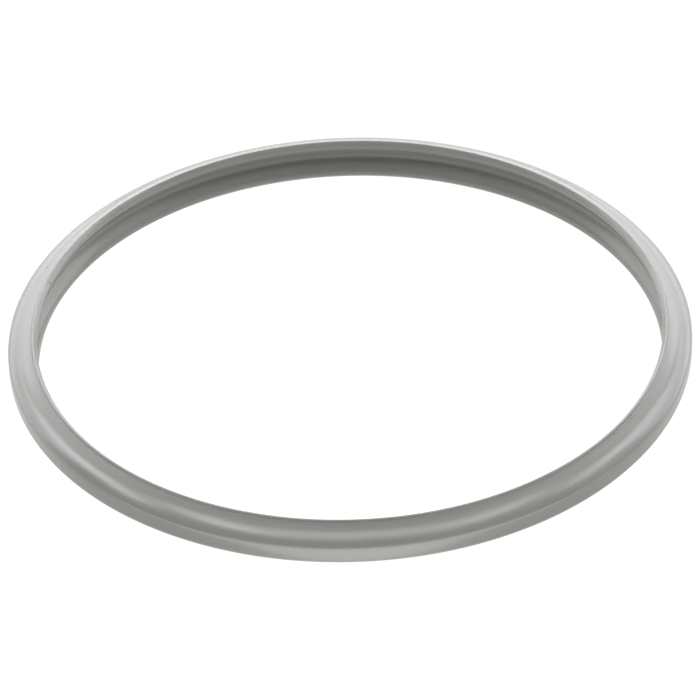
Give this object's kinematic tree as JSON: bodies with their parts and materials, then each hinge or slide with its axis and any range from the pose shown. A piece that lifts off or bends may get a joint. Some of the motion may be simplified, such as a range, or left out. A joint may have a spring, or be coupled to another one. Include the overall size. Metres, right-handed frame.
{
  "type": "pressure cooker sealing ring",
  "caption": "Round silicone rubber sealing ring for a stovetop pressure cooker lid, with crowned flanks, raised crest beads and a hollow round its inner face.",
  "frame": {"origin": "centre of the ring in the plane of its lower crest land, which is the plane it rests on", "axes": "+Z along the ring's axis, from the lower lip to the upper lip; +X and +Y are any two square directions across the ring"},
  "size_m": [0.22, 0.22, 0.0144],
  "materials": {
    "silicone": "satin moulded grey silicone rubber, slightly glossy"
  },
  "bodies": {
    "root": {"sealing_ring": "silicone"}
  },
  "joints": []
}
